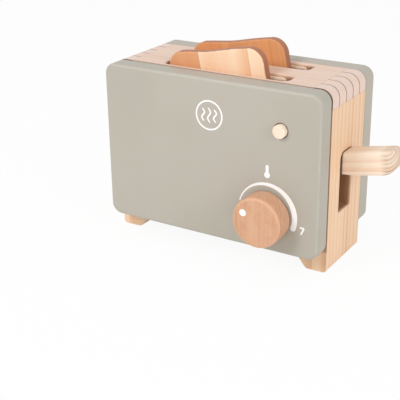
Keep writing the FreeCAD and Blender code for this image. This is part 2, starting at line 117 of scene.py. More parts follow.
def add_node(tree, kind, values=None, **settings):
    """Add a node, set its properties, and connect or fill in its inputs by name or number."""
    node = tree.nodes.new(kind)
    for name, value in settings.items():
        setattr(node, name, value)
    for key, value in (values or {}).items():
        if isinstance(value, bpy.types.NodeSocket):
            tree.links.new(value, node.inputs[key])
        else:
            node.inputs[key].default_value = value
    return node


def calculate(tree, operation, first, second=0.0, third=0.0, clamp=False):
    """One step of arithmetic, and the socket that holds its result."""
    values = {0: first, 1: second, 2: third}
    return add_node(tree, "ShaderNodeMath", values, operation=operation, use_clamp=clamp).outputs[0]


def multiply(tree, first, second):
    """The product of two values."""
    return calculate(tree, "MULTIPLY", first, second)


def add(tree, first, second):
    """The sum of two values."""
    return calculate(tree, "ADD", first, second)


def subtract(tree, first, second):
    """The first value less the second."""
    return calculate(tree, "SUBTRACT", first, second)


def apart(tree, first, second):
    """How far apart two values are."""
    return calculate(tree, "ABSOLUTE", subtract(tree, first, second))


def larger(tree, first, second):
    """The larger of two values."""
    return calculate(tree, "MAXIMUM", first, second)


def vector_step(tree, operation, first, second=(0, 0, 0)):
    """One step of arithmetic on vectors, and the sockets that hold its results."""
    return add_node(tree, "ShaderNodeVectorMath", {0: first, 1: second}, operation=operation).outputs


def separate(tree, vector):
    """The three numbers of a vector."""
    return add_node(tree, "ShaderNodeSeparateXYZ", {0: vector}).outputs


def blend_colours(tree, amount, first, second):
    """Mix two colours by an amount from 0 to 1."""
    values = {"Factor": amount, 6: first, 7: second}
    return add_node(tree, "ShaderNodeMix", values, data_type="RGBA").outputs[2]


def tint(tree, base, mask, amount, shade):
    """Mix a shade into a colour by an amount, where a mask is one."""
    return blend_colours(tree, multiply(tree, mask, amount), base, shade)


def noise(tree, vector, scale, detail=2.0, roughness=0.5):
    """A soft random value around one half, over a vector."""
    values = {"Vector": vector, "Scale": scale, "Detail": detail, "Roughness": roughness}
    return add_node(tree, "ShaderNodeTexNoise", values).outputs["Fac"]


def swing(tree, vector, scale, detail=2.0, roughness=0.5):
    """The same random value about nought."""
    return subtract(tree, noise(tree, vector, scale, detail, roughness), 0.5)


def chance(tree, number):
    """A random value from 0 to 1 that belongs to a whole number."""
    return add_node(tree, "ShaderNodeTexWhiteNoise", {"W": number}, noise_dimensions="1D").outputs["Value"]


def smooth_range(tree, value, low, high, start=0.0, end=1.0):
    """A value that eases from start to end while the input goes from low to high."""
    values = {"Value": value, "From Min": low, "From Max": high, "To Min": start, "To Max": end}
    return add_node(tree, "ShaderNodeMapRange", values, interpolation_type="SMOOTHSTEP").outputs[0]


def new_group(name, inputs, outputs):
    """An empty node group with named sockets, given as (name, kind, value) and (name, kind)."""
    group = bpy.data.node_groups.new(name, "ShaderNodeTree")
    sockets = group.interface
    for socket_name, kind, value in inputs:
        socket = sockets.new_socket(name=socket_name, in_out="INPUT", socket_type="NodeSocket" + kind)
        if value is not None:
            socket.default_value = value
    for socket_name, kind in outputs:
        sockets.new_socket(name=socket_name, in_out="OUTPUT", socket_type="NodeSocket" + kind)
    return group, group.nodes.new("NodeGroupInput").outputs, group.nodes.new("NodeGroupOutput").inputs


def use_group(tree, group, values):
    """Place a group in a net, fill in its inputs, and give its outputs."""
    return add_node(tree, "ShaderNodeGroup", values, node_tree=group).outputs


def new_material(name, **steady):
    """A material with one Principled shader. Steady values go onto the shader's own sockets."""
    material = bpy.data.materials.new(name)
    material.use_nodes = True
    tree = material.node_tree
    shader = tree.nodes["Principled BSDF"]
    for key, value in steady.items():
        shader.inputs[key.replace("_", " ")].default_value = value
    return material, tree, shader


def object_place(tree):
    """Coordinates on the object, in metres."""
    return tree.nodes.new("ShaderNodeTexCoord").outputs["Object"]


def turned_place(tree, turn, shift=(0, 0, 0)):
    """Object coordinates, turned and then moved."""
    values = {"Vector": object_place(tree), "Rotation": turn, "Location": shift}
    return add_node(tree, "ShaderNodeMapping", values, vector_type="POINT").outputs[0]


def distance_from(tree, parts, x, z):
    """The distance from a line along Y that passes through x and z."""
    across_x, across_z = subtract(tree, parts[0], x), subtract(tree, parts[2], z)
    squares = add(tree, multiply(tree, across_x, across_x), multiply(tree, across_z, across_z))
    return calculate(tree, "SQRT", squares)


def connect(tree, shader, base, rough, height, strength, distance):
    """Give a shader its colour, its roughness, and a bump that follows a height."""
    bump = add_node(tree, "ShaderNodeBump", {"Strength": strength, "Distance": distance, "Height": height})
    for name, value in (("Base Color", base), ("Roughness", rough), ("Normal", bump.outputs[0])):
        tree.links.new(value, shader.inputs[name])


def net(material):
    """A material's nodes, its shader, and the colour that the shader has so far."""
    tree = material.node_tree
    shader = tree.nodes["Principled BSDF"]
    return tree, shader, shader.inputs["Base Color"].links[0].from_socket


def colour(red, green, blue):
    """A colour from its three screen values out of 255, as light."""
    light = []
    for value in (red, green, blue):
        share = value / 255
        light.append(share / 12.92 if share <= 0.04045 else ((share + 0.055) / 1.055) ** 2.4)
    return (*light, 1.0)


print("helpers ready")

# %% [markdown]
# Wood is a solid pattern: a tree grows in rings about its pith, and a board is a block cut out of that.
# So one group draws rings about an axis, pushed about by noise, with long fine fibres along the axis.
# A board's broad side then shows long lines and its end shows arcs, without anyone drawing either.

# %% The grain of the wood
grain_inputs = [
    ("Vector", "Vector", None),
    ("Pale", "Color", (0.8, 0.6, 0.4, 1)),
    ("Dark", "Color", (0.5, 0.3, 0.15, 1)),
    ("Ring Spacing", "Float", 0.004),
    ("Ring Strength", "Float", 0.5),
    ("Fibre Strength", "Float", 0.3),
    ("Wander", "Float", 0.006),
]
grain_outputs = [("Color", "Color"), ("Height", "Float"), ("Rings", "Float")]
timber_grain, grain_in, grain_out = new_group("timber_grain", grain_inputs, grain_outputs)
WANDER_SCALE = (14, 14, 2.2)
FIBRE_SCALE = (1100, 1100, 22)
TONE_SCALE = (55, 55, 3)
RING_RISE = (0.15, 0.86)
RING_RISE_POWER = 1.7
RING_FALL = (0.9, 1.0)
FAINTEST_RING = 0.35
TONE_STRENGTH = 0.6
LEAST_DARK = 0.12


def fill_timber_grain(tree, given, result):
    """Rings are the fractional part of distance over spacing, shaped to a slow rise and a quick fall.

    The distance is measured from the Z axis of the vector and shifted by slow noise. Fibres are noise
    stretched fifty times along Z. The dark share is the sum of rings, fibres and a broad tone, and mixes
    the two colours.
    """
    slow, fine, broad = [
        vector_step(tree, "MULTIPLY", given["Vector"], scale)[0]
        for scale in (WANDER_SCALE, FIBRE_SCALE, TONE_SCALE)
    ]
    push = multiply(tree, swing(tree, slow, 1.0), given["Wander"])
    flat = vector_step(tree, "MULTIPLY", given["Vector"], (1, 1, 0))[0]
    distance = vector_step(tree, "LENGTH", flat)["Value"]
    ring_count = calculate(tree, "DIVIDE", add(tree, distance, push), given["Ring Spacing"])
    within = calculate(tree, "FRACT", ring_count)
    rise = calculate(tree, "POWER", smooth_range(tree, within, *RING_RISE), RING_RISE_POWER)
    fall = smooth_range(tree, within, *RING_FALL, 1.0, 0.0)
    uneven = chance(tree, calculate(tree, "FLOOR", ring_count))
    ring = multiply(tree, multiply(tree, rise, fall), smooth_range(tree, uneven, 0, 1, FAINTEST_RING, 1))
    fibre = swing(tree, fine, 1.0, 3.0, 0.6)
    dark = multiply(tree, ring, given["Ring Strength"])
    dark = calculate(tree, "MULTIPLY_ADD", fibre, given["Fibre Strength"], dark)
    dark = calculate(tree, "MULTIPLY_ADD", swing(tree, broad, 1.0), TONE_STRENGTH, dark)
    dark = calculate(tree, "ADD", dark, LEAST_DARK, clamp=True)
    tree.links.new(blend_colours(tree, dark, given["Pale"], given["Dark"]), result["Color"])
    height = calculate(tree, "MULTIPLY_ADD", fibre, 0.6, multiply(tree, ring, 0.25))
    tree.links.new(height, result["Height"])
    tree.links.new(ring, result["Rings"])


fill_timber_grain(timber_grain, grain_in, grain_out)
print("timber_grain has", len(timber_grain.nodes), "nodes")

# %% [markdown]
# Handling polishes and bares the corners of a toy first. The group below finds the rounded edges of a
# box-shaped board from coordinates alone: away from an edge only one of the three distances reaches the
# rounding, at an edge two of them do. Noise breaks the band up, so it doesn't look like a drawn line.

# %% Worn and handled edges
wear_inputs = [
    ("Vector", "Vector", None),
    ("Middle", "Vector", (0, 0, 0)),
    ("Half Size", "Vector", (0.1, 0.01, 0.06)),
    ("Rounding", "Float", 0.0026),
    ("Breakup", "Float", 0.5),
]
worn_edges, wear_in, wear_out = new_group("worn_edges", wear_inputs, [("Mask", "Float")])
WEAR_PATCHES = 160.0
WEAR_FADE = (0.3, 0.85)


def fill_worn_edges(tree, given, result):
    """Fold the place into one corner of the box, subtract the flat part, and add the two smaller leftovers."""
    centred = vector_step(tree, "SUBTRACT", given["Vector"], given["Middle"])[0]
    folded = vector_step(tree, "ABSOLUTE", centred)[0]
    past = vector_step(tree, "SUBTRACT", folded, given["Half Size"])[0]
    over = [larger(tree, add(tree, part, given["Rounding"]), 0.0) for part in separate(tree, past)]
    total = add(tree, add(tree, over[0], over[1]), over[2])
    largest = larger(tree, larger(tree, over[0], over[1]), over[2])
    share = calculate(tree, "DIVIDE", subtract(tree, total, largest), given["Rounding"])
    patchy = swing(tree, given["Vector"], WEAR_PATCHES, 4.0, 0.6)
    share = calculate(tree, "MULTIPLY_ADD", patchy, given["Breakup"], share)
    tree.links.new(smooth_range(tree, share, *WEAR_FADE), result["Mask"])


fill_worn_edges(worn_edges, wear_in, wear_out)
print("worn_edges has", len(worn_edges.nodes), "nodes")

# %% [markdown]
# Where two boards meet there is a fine dark glue line. It follows one coordinate of the board, so a group
# that darkens a thin band about zero is enough, and each material feeds it the coordinates it needs.

# %% Glue lines
line_inputs = [("Distance", "Float", 0.0), ("Half Width", "Float", 0.0002)]
glue_line, line_in, line_out = new_group("glue_line", line_inputs, [("Mask", "Float")])
across = calculate(glue_line, "ABSOLUTE", line_in["Distance"])
relative = calculate(glue_line, "DIVIDE", across, line_in["Half Width"])
glue_line.links.new(smooth_range(glue_line, relative, 0.5, 1.6, 1.0, 0.0), line_out["Mask"])
print("glue_line ready")

# %% [markdown]
# The front and back panels are sprayed with a satin grey-green paint over smooth board. Seen close it has a
# very fine orange-peel texture, a slightly cloudy tone and edges that have been handled a little lighter.
# Near the button's axis the paint gives way to the shade of the hole, at whatever depth, so on both panels.

# %% Painted panels
PAINT = colour(186, 179, 167)
PAINT_CLOUD = colour(181, 176, 163)
PAINT_EDGE = colour(203, 201, 191)
HOLE_SHADE = colour(92, 70, 54)
PANEL_ROUNDING = 2.6 * MM
BUTTON_HOLE = 5.75 * MM
CLOUD_SCALE = 9.0
PATCH_SCALE = 60.0
PEEL_SCALE = 1500.0
button_low, button_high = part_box("push_button")
button_x = (button_low.x + button_high.x) / 2
button_z = (button_low.z + button_high.z) / 2


def painted_board(name, node):
    """Satin paint on one panel, with wear about that panel's own box."""
    low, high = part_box(node)
    material, tree, shader = new_material(name, Specular_IOR_Level=0.35)
    place = object_place(tree)
    cloud = smooth_range(tree, noise(tree, place, CLOUD_SCALE), 0.35, 0.65)
    worn = use_group(tree, worn_edges, {
        "Vector": place, "Middle": (low + high) / 2, "Half Size": (high - low) / 2,
        "Rounding": PANEL_ROUNDING, "Breakup": 0.9,
    })["Mask"]
    base = tint(tree, blend_colours(tree, cloud, PAINT, PAINT_CLOUD), worn, 0.45, PAINT_EDGE)
    from_button = distance_from(tree, separate(tree, place), button_x, button_z)
    in_hole = smooth_range(tree, from_button, BUTTON_HOLE + 0.1 * MM, BUTTON_HOLE + 0.5 * MM, 1.0, 0.0)
    base = tint(tree, base, in_hole, 0.9, HOLE_SHADE)
    rough = calculate(tree, "MULTIPLY_ADD", noise(tree, place, PATCH_SCALE, 3.0), 0.12, 0.4)
    connect(tree, shader, base, rough, noise(tree, place, PEEL_SCALE), 0.12, 0.0002)
    return material


def dress(material, *nodes):
    """Give construction pieces their finish."""
    for node in nodes:
        slots = frame["nodes"][node].data.materials
        slots.clear()
        slots.append(material)


for panel in ("front_panel", "back_panel"):
    dress(painted_board("satin_paint_" + panel, panel), panel)
print("painted the panels")

# %% [markdown]
# Every wooden piece uses the same grain group, turned so that its Z axis runs along that piece's fibres and
# moved so that the pith lies outside the piece. A board from far out in the trunk shows nearly straight lines.

# %% Bare wood
WOOD_ROUGHNESS = 0.5
RING_GLOSS = 0.08


def wood_material(name, pale, dark, turn, pith, spacing, rings, fibres, wander=0.006):
    """Lacquered wood: grain colour, with rings a little glossier and fibres raised in the bump."""
    material, tree, shader = new_material(name, Specular_IOR_Level=0.3)
    grain = use_group(tree, timber_grain, {
        "Vector": turned_place(tree, turn, pith), "Pale": pale, "Dark": dark, "Ring Spacing": spacing,
        "Ring Strength": rings, "Fibre Strength": fibres, "Wander": wander,
    })
    rough = calculate(tree, "MULTIPLY_ADD", grain["Rings"], -RING_GLOSS, WOOD_ROUGHNESS)
    connect(tree, shader, grain["Color"], rough, grain["Height"], 0.25, 0.0003)
    return material


ALONG_X = (0, -math.pi / 2, 0)
ALONG_Y = (math.pi / 2, 0, 0)
ALONG_Z = (0, 0, 0)
END_PALE = colour(249, 216, 182)
END_DARK = colour(214, 156, 112)
TOP_PALE = colour(240, 214, 196)
TOP_DARK = colour(214, 166, 138)

end_wood = wood_material(
    "end_board_wood", END_PALE, END_DARK, ALONG_Z,
    pith=(0.04, 0.21, 0), spacing=0.0058, rings=0.5, fibres=0.5)
top_wood = wood_material(
    "top_board_wood", TOP_PALE, TOP_DARK, ALONG_X,
    pith=(0.02, 0.16, 0), spacing=0.0046, rings=0.3, fibres=0.5)
liner_wood = wood_material(
    "liner_wood", colour(255, 238, 214), colour(232, 190, 150), ALONG_X,
    pith=(0.02, 0.11, 0), spacing=0.004, rings=0.2, fibres=0.3)
inner_wood = wood_material(
    "inner_wood", colour(226, 184, 142), colour(170, 116, 76), ALONG_X,
    pith=(0.05, 0.1, 0), spacing=0.005, rings=0.5, fibres=0.5)
print("wood materials ready")

# %% [markdown]
# The corners of the box are finger joints. Their glue lines stand at both sides of every finger, and faintly
# where the fingers end. Where the box meets a panel, a dark line is painted shade in the groove by the panel's
# rounded edge.

# %% Lines of the finger joints
FINGERS = 5
LINE_HALF_WIDTH = 0.00052
ROOT_STRENGTH = 0.12
PANEL_GROOVE_SHADE_STRENGTH = 0.55
FINGER_END = colour(236, 212, 200)
JOINT_LINE_AND_GROOVE_SHADE = colour(112, 84, 70)
board_thickness = core_high.z - core_low.z
depth = core_high.y - core_low.y


def finger_lines(material):
    """Dark lines at each finger's sides, near the corners only, faint ones at the fingers' roots, and painted
    shade beside the panels.
    """
    tree, shader, base = net(material)

    def line_at(distance):
        return use_group(tree, glue_line, {"Distance": distance, "Half Width": LINE_HALF_WIDTH})["Mask"]

    parts = separate(tree, object_place(tree))
    across_depth = calculate(tree, "DIVIDE", subtract(tree, parts[1], core_low.y), depth / FINGERS)
    nearest = calculate(tree, "ROUND", across_depth)
    sides = line_at(multiply(tree, subtract(tree, across_depth, nearest), depth / FINGERS))
    from_middle = apart(tree, parts[0], middle_x)
    end_inner = half_width - board_thickness
    near_end = calculate(tree, "GREATER_THAN", from_middle, end_inner)
    near_top = calculate(tree, "GREATER_THAN", parts[2], core_low.z)
    corner = multiply(tree, near_end, near_top)
    root_x = multiply(tree, line_at(subtract(tree, from_middle, end_inner)), near_top)
    root_z = multiply(tree, line_at(subtract(tree, parts[2], core_low.z)), near_end)
    roots = multiply(tree, larger(tree, root_x, root_z), ROOT_STRENGTH)
    # Painted shade: a dark line along each panel, in the groove beside the panel's rounded edge, above the
    # feet.
    panel_groove_shade = smooth_range(
        tree, apart(tree, parts[1], middle_y), depth / 2 - 0.9 * MM, depth / 2 - 0.2 * MM)
    above_foot = calculate(tree, "GREATER_THAN", parts[2], panel_low.z + 1 * MM)
    panel_groove_shade = multiply(tree, multiply(tree, panel_groove_shade, above_foot), PANEL_GROOVE_SHADE_STRENGTH)
    # The glue lines and the painted shade by the panels share one dark colour.
    lines = larger(tree, larger(tree, multiply(tree, sides, corner), roots), panel_groove_shade)
    raised = smooth_range(tree, parts[2], core_low.z - 3 * MM, core_low.z + 3 * MM)
    base = tint(tree, base, multiply(tree, corner, raised), 0.8, FINGER_END)
    tree.links.new(tint(tree, base, lines, 0.85, JOINT_LINE_AND_GROOVE_SHADE), shader.inputs["Base Color"])


print("finger joints have", FINGERS, "fingers")

# %% [markdown]
# Little light gets into a slot. A mask that is one on the slot's walls mixes in a deep brown there, and
# fades out just behind the face that the slot is cut in.

# %% Shade inside the slots
LEVER_SLOT_HALF = 11 * MM
LEVER_SLOT_TOP = 91.4 * MM
SLOT_REACH = 57 * MM
SHADE_FULL = 3 * MM
SLOT_SHADE = colour(156, 100, 62)
end_face = middle_x + half_width


def shade_inside(material, inside):
    """Mix a deep brown into a colour where a mask says that the surface lies inside a slot."""
    tree, shader, base = net(material)
    tree.links.new(tint(tree, base, inside(tree), 0.8, SLOT_SHADE), shader.inputs["Base Color"])


def inside_lever_slot(tree):
    """One on the walls of the lever's slot, which lie behind the outer face of the right end board."""
    parts = separate(tree, object_place(tree))
    behind = smooth_range(tree, parts[0], end_face - SHADE_FULL, end_face - 0.4 * MM, 1.0, 0.0)
    within = calculate(tree, "LESS_THAN", apart(tree, parts[1], middle_y), LEVER_SLOT_HALF + 0.2 * MM)
    low_enough = calculate(tree, "LESS_THAN", parts[2], LEVER_SLOT_TOP + 1 * MM)
    right_end = calculate(tree, "GREATER_THAN", parts[0], middle_x)
    return multiply(tree, behind, multiply(tree, within, multiply(tree, low_enough, right_end)))


def inside_toast_slots(tree):
    """One on the walls of the toast slots, which lie below the top and within the slots' reach."""
    parts = separate(tree, object_place(tree))
    below = smooth_range(tree, parts[2], body_top - SHADE_FULL, body_top - 0.7 * MM, 1.0, 0.0)
    return multiply(tree, below, calculate(tree, "LESS_THAN", apart(tree, parts[0], middle_x), SLOT_REACH))


def below_liner_rim(tree):
    """One on a liner, except along its rim."""
    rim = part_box("rear_slot_liner")[1].z
    height = separate(tree, object_place(tree))[2]
    return smooth_range(tree, height, rim - SHADE_FULL, rim - 0.4 * MM, 1.0, 0.0)


shade_inside(end_wood, inside_lever_slot)
shade_inside(top_wood, inside_toast_slots)
shade_inside(liner_wood, below_liner_rim)
finger_lines(end_wood)
finger_lines(top_wood)
print("slots shaded")

# %% Dress the boards
dress(end_wood, "left_end_board", "right_end_board")
dress(top_wood, "top_board")
dress(liner_wood, "rear_slot_liner", "front_slot_liner")
dress(inner_wood, "bottom_board", "button_bridge")
print("boards dressed")

# %% [markdown]
# The lever is one piece of straight-grained pine. Its place is read from the joint that it turns on, and
# its tilt from the axis along which the rear slice lifts, so the grain runs along the tilted arm and not along
# the table.

# %% The lever's wood
joints = {joint["name"]: joint for joint in frame["joints"]}
pivot = Vector(joints["lever_hinge"]["pos_m"])
lift = Vector(joints["rear_slice_lift"]["axis"])
tilt = math.atan2(-lift.x, lift.z)
LEVER_PALE = colour(255, 240, 220)
LEVER_DARK = colour(226, 166, 120)
LEVER_TURN = (0, -math.pi / 2 + tilt, 0)
LEVER_PITH = (0.127, 0.06, 0)
lever_wood = wood_material(
    "lever_wood", LEVER_PALE, LEVER_DARK, LEVER_TURN,
    pith=LEVER_PITH, spacing=0.0050, rings=0.34, fibres=0.35, wander=0.004)
dowel_wood = wood_material(
    "dowel_wood", colour(232, 196, 150), colour(180, 128, 84), ALONG_Y,
    pith=(0.004, 0.006, 0), spacing=0.002, rings=0.5, fibres=0.5)
dress(dowel_wood, "panel_dowels", "bottom_board_dowels", "lever_pivot_dowel", "pivot_spacers",
      "carrier_dowels", "knob_shaft", "knob_keeper")
print("lever tilted by %.1f degrees" % math.degrees(tilt))

# %% [markdown]
# The thumb end of the lever has been sanded round, so the grain comes out at its end. End grain drinks
# lacquer and turns darker, with every ring as a fine line. A mask along the arm brings that in only there,
# and a second one paints shade onto the part that lies inside its slot, where little light gets in.

# %% End grain and painted shade in the slot
arm_points = np.array([vertex.co[:] for vertex in frame["nodes"]["lever_arm"].data.vertices])
arm_along = (arm_points[:, 0] - pivot.x) * math.cos(tilt) + (arm_points[:, 2] - pivot.z) * math.sin(tilt)
ARM_START = arm_along.min()
LEVER_SANDED_OFF = 3.2 * MM
LEVER_TIP = arm_along.max() - LEVER_SANDED_OFF
END_RING_SPACING = 0.0021
END_GRAIN = colour(196, 166, 142)
END_GRAIN_LINE = colour(134, 100, 76)
LEVER_SLOT_PAINTED_SHADE = colour(84, 46, 22)


def finish_lever(material):
    """Add fine dark rings near the tip, and painted shade behind the outer face of the end board."""
    tree, shader, base = net(material)
    turned = turned_place(tree, LEVER_TURN, LEVER_PITH)
    rings = use_group(tree, timber_grain, {
        "Vector": turned, "Ring Spacing": END_RING_SPACING, "Ring Strength": 1.0, "Wander": 0.004,
    })["Rings"]
    tip = pivot.x * math.cos(tilt) + pivot.z * math.sin(tilt) + LEVER_TIP
    near_tip = smooth_range(tree, separate(tree, turned)[2], tip - 14 * MM, tip - 7 * MM)
    base = tint(tree, base, multiply(tree, rings, near_tip), 0.95, END_GRAIN_LINE)
    base = tint(tree, base, near_tip, 0.25, END_GRAIN)
    across = separate(tree, object_place(tree))[0]
    # Painted shade: the lever turns dark brown where it goes into the end board's slot.
    inside = smooth_range(tree, across, end_face - 0.5 * MM, end_face + 1.3 * MM, 0.92, 0.0)
    tree.links.new(blend_colours(tree, inside, base, LEVER_SLOT_PAINTED_SHADE), shader.inputs["Base Color"])


finish_lever(lever_wood)
print("lever runs from %.0f to %.0f mm beyond its pivot" % (1000 * ARM_START, 1000 * LEVER_TIP))

# %% [markdown]
# Steel springs and screws hide inside, where a slot may give a glimpse of them. They get a bright
# drawn-wire finish with fine scratches, and the washer behind the knob gets a fuzzy felt.

# %% Steel and felt
SCRATCH_SCALE = (400, 400, 4000)
SCRATCH = colour(120, 118, 112)


def steel_material(name, bare, roughness):
    """Bright metal whose roughness varies along fine scratches."""
    material, tree, shader = new_material(name, Metallic=1.0)
    stretched = add_node(tree, "ShaderNodeMapping", {"Vector": object_place(tree), "Scale": SCRATCH_SCALE})
    scratches = noise(tree, stretched.outputs[0], 1.0, 3.0)
    base = tint(tree, bare, scratches, 0.3, SCRATCH)
    tree.links.new(base, shader.inputs["Base Color"])
    tree.links.new(calculate(tree, "MULTIPLY_ADD", scratches, 0.25, roughness), shader.inputs["Roughness"])
    return material


spring_steel = steel_material("spring_steel", colour(205, 205, 204), 0.22)
screw_zinc = steel_material("screw_zinc", colour(214, 204, 170), 0.3)
dress(spring_steel, "lever_spring", "button_spring")
dress(screw_zinc, "bridge_screws")


def felt_material():
    """Short hairs as fine noise, in the colour, the roughness and the bump."""
    material, tree, shader = new_material("washer_felt", Sheen_Weight=0.5, Sheen_Roughness=0.5)
    hairs = noise(tree, object_place(tree), 2600.0, 4.0, 0.7)
    base = blend_colours(tree, hairs, colour(150, 142, 130), colour(196, 188, 176))
    rough = calculate(tree, "MULTIPLY_ADD", hairs, 0.1, 0.88)
    connect(tree, shader, base, rough, hairs, 0.7, 0.0003)
    return material


dress(felt_material(), "knob_washer")
print("steel and felt dressed")

# %% [markdown]
# New surfaces are grids. A function gives a point for each pair of parameters, numpy works out the whole
# grid at once, and this helper joins neighbouring points by quads. A grid may be closed round one way, and
# rows that shrink to a point are merged there, so poles are closed.

# %% From a grid to a mesh


def grid_piece(name, points, wrap_rows=False, wrap_columns=True):
    """A mesh through a grid of points, rows by columns by three, in metres."""
    rows, columns = points.shape[:2]
    index = np.arange(rows * columns).reshape(rows, columns)
    down = np.roll(index, -1, axis=0) if wrap_rows else index[1:]
    here = index if wrap_rows else index[:-1]
    if wrap_columns:
        right_here, right_down = np.roll(here, -1, axis=1), np.roll(down, -1, axis=1)
    else:
        right_here, right_down = here[:, 1:], down[:, 1:]
        here, down = here[:, :-1], down[:, :-1]
    quads = np.stack([here, right_here, right_down, down], axis=-1).reshape(-1, 4)
    mesh = bpy.data.meshes.new(name)
    mesh.from_pydata(points.reshape(-1, 3), [], quads.tolist())
    tidy_mesh(mesh)
    return place_object(name, mesh)


def shade_faces(mesh, smooth):
    """Shade every face of a mesh smooth or flat."""
    mesh.polygons.foreach_set("use_smooth", np.full(len(mesh.polygons), smooth))


def tidy_mesh(mesh, merge=1e-6):
    """Merge the points of poles and seams, turn every face outwards and shade it smooth."""
    work = bmesh.new()
    work.from_mesh(mesh)
    bmesh.ops.remove_doubles(work, verts=work.verts, dist=merge)
    bmesh.ops.dissolve_degenerate(work, edges=work.edges, dist=merge)
    bmesh.ops.recalc_face_normals(work, faces=work.faces)
    work.to_mesh(mesh)
    work.free()
    shade_faces(mesh, True)
    mesh.update()


def finish_piece(piece, material, body, slot, *nodes):
    """Dress a new piece, let it ride on its body, and let it stand for the nodes that it replaces."""
    piece.data.materials.append(material)
    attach(piece, body)
    if nodes:
        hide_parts(*nodes)
    print(piece.name, "has", len(piece.data.polygons), "faces")


print("grid helper ready")

# %% [markdown]
# The lever is a square bar with softened edges, cut round underneath at its thumb end and rounded off at
# both sides there. So it is one rounded square carried along the arm. Each section has its own half width,
# top and bottom, and all three follow quarter circles near the tip. From the end board outwards the bar
# swells a little above and below.

# %% Shape the lever
ARM_HALF = 8.7 * MM
THUMB_SIDE_RADIUS = 7.6 * MM
THUMB_TOP_RADIUS = 4.0 * MM
THUMB_UNDER_RADIUS = 12.6 * MM
ARM_SECTION_POWER = 7.5
ARM_BACK_RADIUS = 2.0 * MM
THUMB_SWELL = 0.9 * MM
SWELL_START = 168 * MM
SWELL_LENGTH = 7 * MM
BAR_FROM_BACK = 5 * MM
BAR_FROM_TIP = 16 * MM
CLOSED_WIDTH = 1e-4


def out_of_arm(along, up):
    """Where a place along the arm and square to it lies in x and z."""
    x = pivot.x + along * math.cos(tilt) - up * math.sin(tilt)
    z = pivot.z + along * math.sin(tilt) + up * math.cos(tilt)
    return x, z


def quarter_cut(along, tip, radius):
    """How much a quarter circle that ends at the tip has taken off at each place along the arm."""
    into = np.clip(along - (tip - radius), 0, radius)
    return radius - np.sqrt(np.clip(radius ** 2 - into ** 2, 0, None))


def lever_surface():
    """A superellipse |a|^n + |b|^n = 1 about each place along the arm, stretched to that section's box."""
    thumb = np.sin(np.linspace(0, np.pi / 2, 40))
    back = 1 - np.cos(np.linspace(0, np.pi / 2, 8))
    along = np.concatenate([
        ARM_START + ARM_BACK_RADIUS * back,
        np.linspace(ARM_START + BAR_FROM_BACK, LEVER_TIP - BAR_FROM_TIP, 60),
        LEVER_TIP - THUMB_UNDER_RADIUS * (1 - thumb), [LEVER_TIP],
    ])
    back_cut = quarter_cut(-along, -ARM_START, ARM_BACK_RADIUS)
    share = np.clip((along - SWELL_START) / SWELL_LENGTH, 0, 1)
    tall = ARM_HALF + THUMB_SWELL * share * share * (3 - 2 * share)
    wide = ARM_HALF - quarter_cut(along, LEVER_TIP, THUMB_SIDE_RADIUS) - back_cut
    top = tall - quarter_cut(along, LEVER_TIP, THUMB_TOP_RADIUS) - back_cut
    bottom = -tall + quarter_cut(along, LEVER_TIP, THUMB_UNDER_RADIUS) + back_cut
    for closed in (0, -1):
        wide[closed] *= CLOSED_WIDTH
        top[closed] = bottom[closed] = (top[closed] + bottom[closed]) / 2
    angle = np.linspace(0, 2 * np.pi, 96, endpoint=False)
    across = np.sign(np.cos(angle)) * np.abs(np.cos(angle)) ** (2 / ARM_SECTION_POWER)
    upward = np.sign(np.sin(angle)) * np.abs(np.sin(angle)) ** (2 / ARM_SECTION_POWER)
    y = middle_y + wide[:, None] * across
    w = (top + bottom)[:, None] / 2 + (top - bottom)[:, None] / 2 * upward
    x, z = out_of_arm(np.broadcast_to(along[:, None], w.shape), w)
    return np.stack([x, y, z], axis=-1)


finish_piece(grid_piece("shaped_lever", lever_surface()), lever_wood, "lever", "lever_wood", "lever_arm")

# %% [markdown]
# Each slot has a pale strip down either long wall, so that a slice can't rub the board. The strip on the
# outer wall is the mirror image of the inner one, about the middle plane of the slot.

# %% Strips on the outer slot walls
SLOT_MIDDLE = 17.5 * MM


def mirrored_strip(name, node, plane_y):
    """A copy of a strip with y replaced by twice the plane's y less y, and its faces turned outwards again."""
    mesh = frame["nodes"][node].data.copy()
    mesh.name = name
    mesh.materials.clear()
    flat = np.empty(3 * len(mesh.vertices))
    mesh.vertices.foreach_get("co", flat)
    points = flat.reshape(-1, 3)
    points[:, 1] = 2 * plane_y - points[:, 1]
    mesh.vertices.foreach_set("co", points.ravel())
    tidy_mesh(mesh)
    shade_faces(mesh, False)
    return place_object(name, mesh)


for side, direction in (("rear", 1), ("front", -1)):
    strip = mirrored_strip(side + "_outer_strip", side + "_slot_liner", middle_y + direction * SLOT_MIDDLE)
    finish_piece(strip, liner_wood, "body", "pale_wood")

# %% [markdown]
# A toast slice is a flat wooden slice of bread: straight sides, two soft lobes at the top, a shallow dip
# between them. It is cut from a board, so its faces are flat, and its edge is rounded over by sanding.
# The outline is worked out once around, and the surface is that outline pulled in towards the middle at
# both faces, with a quarter-round between face and edge.

# %% Outline of a slice
SLICE_LEFT = 36.8 * MM
SLICE_RIGHT = 122.2 * MM
SLICE_FOOT = 4.3 * MM
LEFT_LOBE_TOP = 97.2 * MM
RIGHT_LOBE_TOP = 95.3 * MM
LEFT_LOBE_RADIUS = 12.5 * MM
RIGHT_LOBE_RADIUS = 12.9 * MM
FOOT_RADIUS = 4.0 * MM
DIP = 1.1 * MM
DIP_PLACE = 73.8 * MM
DIP_SPREAD = 16.0 * MM
SLICE_THICKNESS = 8.0 * MM
EDGE_ROUND = 1.3 * MM
FACE_SHARES = (0.0, 0.35, 0.7, 0.93)


def arc_points(centre, radius, start, end, count):
    """Points on an arc, by its centre, radius and two angles in degrees."""
    angle = np.radians(np.linspace(start, end, count))
    return np.stack([centre[0] + radius * np.cos(angle), centre[1] + radius * np.sin(angle)], axis=1)


